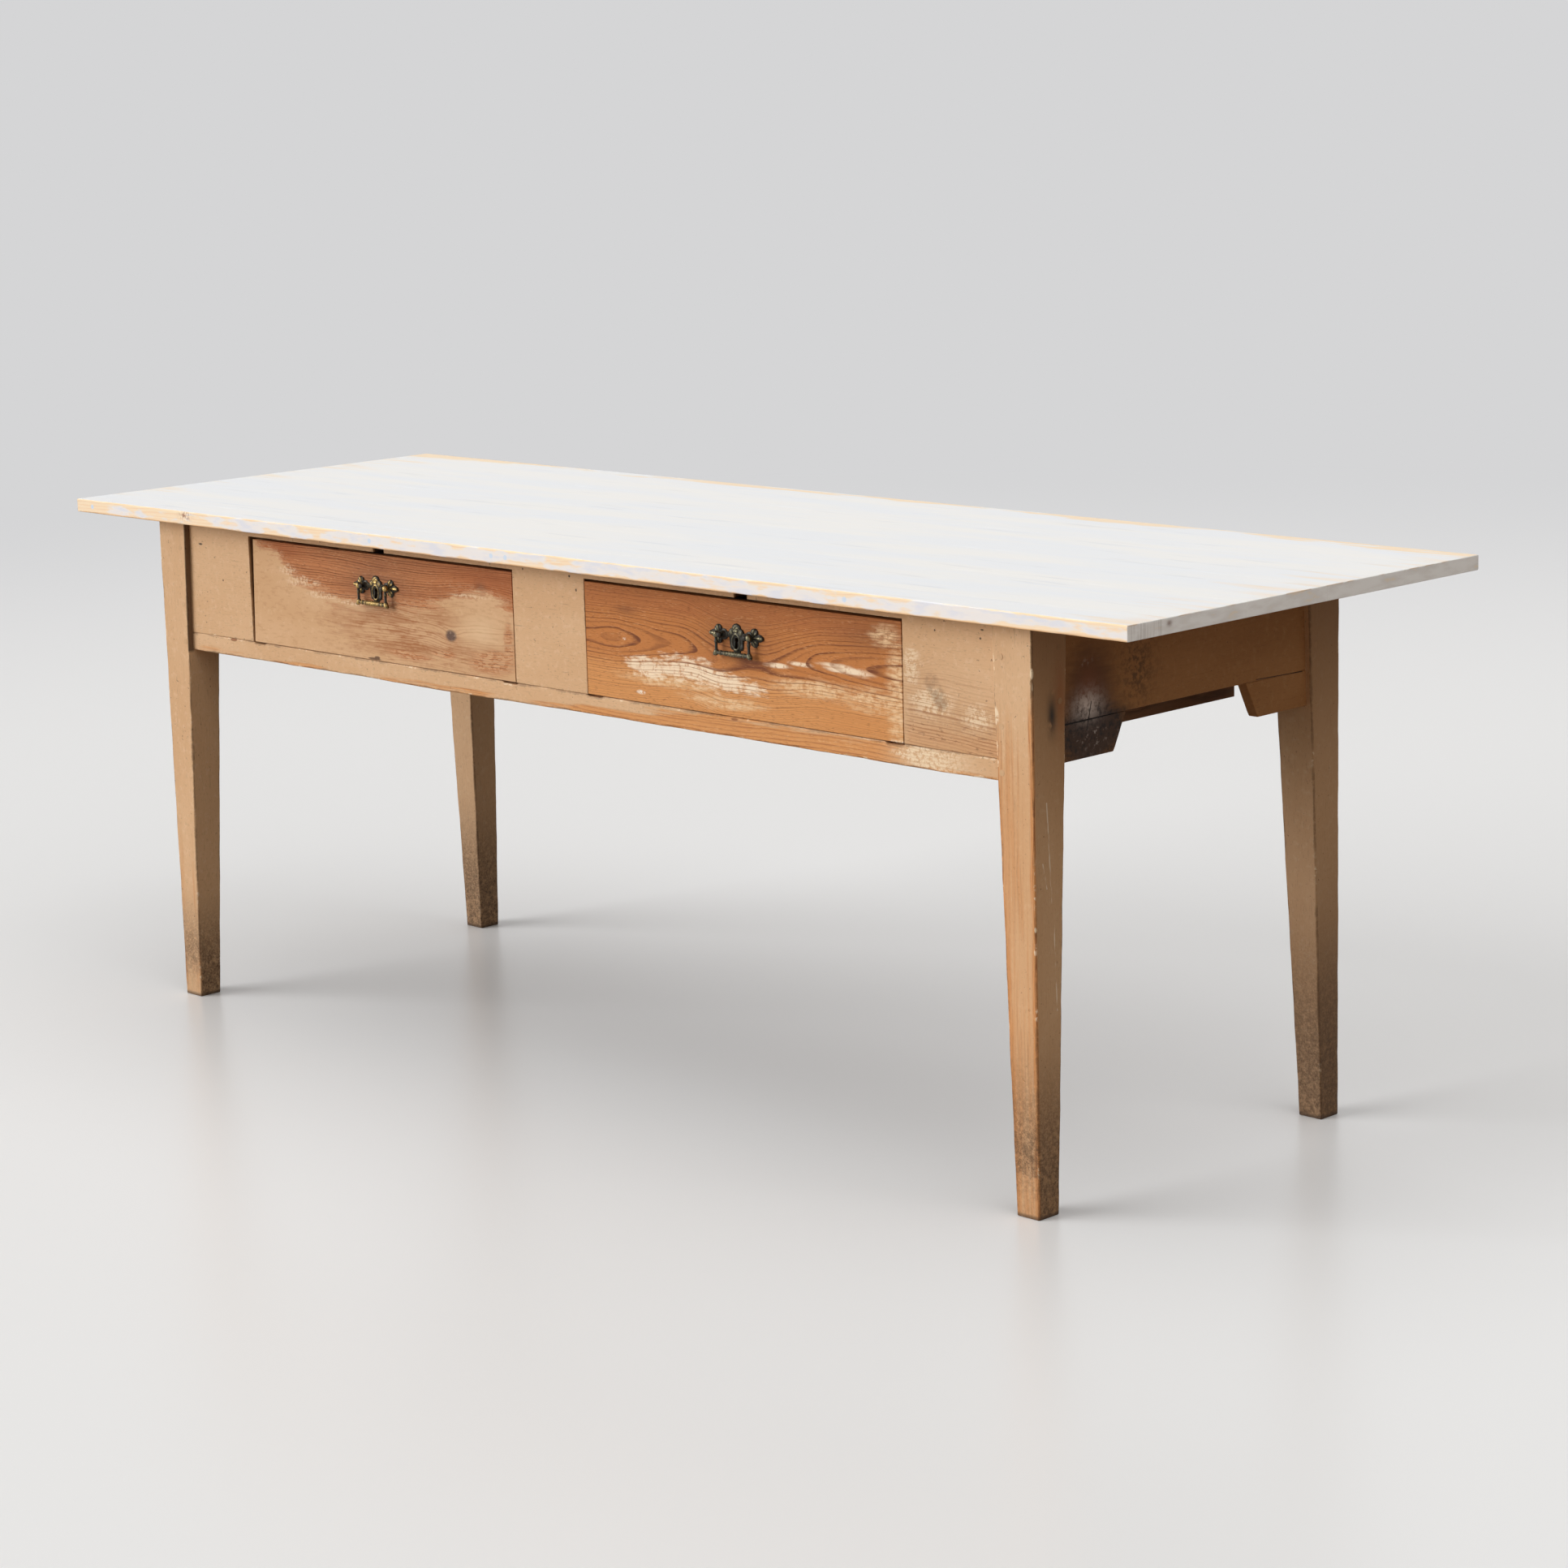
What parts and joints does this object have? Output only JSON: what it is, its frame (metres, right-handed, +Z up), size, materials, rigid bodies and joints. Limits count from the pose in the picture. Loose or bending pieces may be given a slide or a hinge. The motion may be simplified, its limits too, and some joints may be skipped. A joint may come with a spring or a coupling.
{
  "type": "kitchen table with drawers",
  "caption": "Long pine kitchen table with tapered legs, sloped apron brackets, a whitewashed plank top and lockable dovetailed drawers with brass bail handles.",
  "frame": {"origin": "on the floor, under the middle of the table top", "axes": "+X along the table to the right as seen from the drawer side, -Y towards the drawer side, +Z up"},
  "size_m": [2.12, 0.704, 0.77],
  "materials": {
    "painted_pine": "worn ochre-beige paint over pine, rubbed to bare wood on the edges",
    "stripped_pine": "half-stripped orange-brown pine with remains of beige paint",
    "whitewashed_pine": "matt whitewash with pale pine showing at the edges",
    "bare_pine": "unpainted aged pine",
    "aged_brass": "cast brass with a dark bronze patina",
    "old_iron": "dark rusted iron"
  },
  "bodies": {
    "frame": {"back_apron": "painted_pine", "batten_screws": "old_iron", "bracket_left_back": "painted_pine", "bracket_left_front": "painted_pine", "bracket_right_back": "painted_pine", "bracket_right_front": "painted_pine", "drawer_stops": "bare_pine", "edging_screws": "old_iron", "end_apron_left": "painted_pine", "end_apron_right": "painted_pine", "frame_nails": "old_iron", "front_apron": "painted_pine", "front_rail": "painted_pine", "guide_left": "bare_pine", "guide_middle": "bare_pine", "guide_right": "bare_pine", "leg_back_left": "painted_pine", "leg_back_right": "painted_pine", "leg_front_left": "painted_pine", "leg_front_right": "painted_pine", "runner_left": "bare_pine", "runner_middle": "bare_pine", "runner_right": "bare_pine", "tenon_pegs": "painted_pine", "top_batten_left": "bare_pine", "top_batten_middle": "bare_pine", "top_batten_right": "bare_pine", "top_board_1": "whitewashed_pine", "top_board_2": "whitewashed_pine", "top_board_3": "whitewashed_pine", "top_board_4": "whitewashed_pine", "top_edging": "whitewashed_pine"},
    "bail_left": {"left_bail": "aged_brass"},
    "drawer_left": {"left_drawer_back": "bare_pine", "left_drawer_bottom": "bare_pine", "left_drawer_front": "stripped_pine", "left_drawer_nails": "old_iron", "left_drawer_side_left": "bare_pine", "left_drawer_side_right": "bare_pine", "left_handle_plate": "aged_brass", "left_handle_posts": "aged_brass", "left_lock_cap": "old_iron", "left_lock_plate": "old_iron", "left_lock_screws": "old_iron", "left_post_nuts": "old_iron"},
    "bolt_left": {"left_lock_bolt": "old_iron"},
    "bail_right": {"right_bail": "aged_brass"},
    "drawer_right": {"right_drawer_back": "bare_pine", "right_drawer_bottom": "bare_pine", "right_drawer_front": "stripped_pine", "right_drawer_nails": "old_iron", "right_drawer_side_left": "bare_pine", "right_drawer_side_right": "bare_pine", "right_handle_plate": "aged_brass", "right_handle_posts": "aged_brass", "right_lock_cap": "old_iron", "right_lock_plate": "old_iron", "right_lock_screws": "old_iron", "right_post_nuts": "old_iron"},
    "bolt_right": {"right_lock_bolt": "old_iron"}
  },
  "joints": [
    {"name": "left_drawer_slide", "type": "slide", "parent": "frame", "child": "drawer_left", "axis": [0, -1, 0], "range_m": [0, 0.4]},
    {"name": "left_bail_swing", "type": "hinge", "parent": "drawer_left", "child": "bail_left", "pos_m": [-0.3785, -0.322, 0.6865], "axis": [-1, 0, 0], "range_deg": [0, 165]},
    {"name": "left_bolt_throw", "type": "slide", "parent": "drawer_left", "child": "bolt_left", "axis": [0, 0, 1], "range_m": [0, 0.009]},
    {"name": "right_drawer_slide", "type": "slide", "parent": "frame", "child": "drawer_right", "axis": [0, -1, 0], "range_m": [0, 0.4]},
    {"name": "right_bail_swing", "type": "hinge", "parent": "drawer_right", "child": "bail_right", "pos_m": [0.365, -0.322, 0.6865], "axis": [-1, 0, 0], "range_deg": [0, 165]},
    {"name": "right_bolt_throw", "type": "slide", "parent": "drawer_right", "child": "bolt_right", "axis": [0, 0, 1], "range_m": [0, 0.009]}
  ]
}
